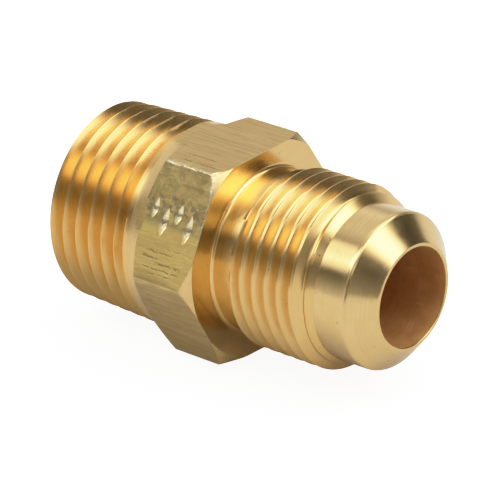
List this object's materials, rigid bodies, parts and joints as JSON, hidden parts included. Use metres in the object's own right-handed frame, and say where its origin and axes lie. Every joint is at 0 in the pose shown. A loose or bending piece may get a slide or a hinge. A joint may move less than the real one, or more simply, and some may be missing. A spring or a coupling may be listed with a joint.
{
  "type": "flare fitting",
  "caption": "Brass adapter: male 45 degree flare seat and thread at one end, tapered male pipe thread at the other, wrench hexagon between. Joins flared copper tube to a tapped port.",
  "frame": {"origin": "on the bore's centre line, half-way between the pipe end face and the flare nose face", "axes": "+X along the bore towards the flare nose, +Z out of a wrench flat, +Y out of a hexagon corner"},
  "size_m": [0.0402, 0.0252, 0.0222],
  "materials": {
    "brass": "machined, with drawn-bar mill finish on the wrench flats"
  },
  "bodies": {
    "root": {"fitting_body": "brass"}
  },
  "joints": []
}
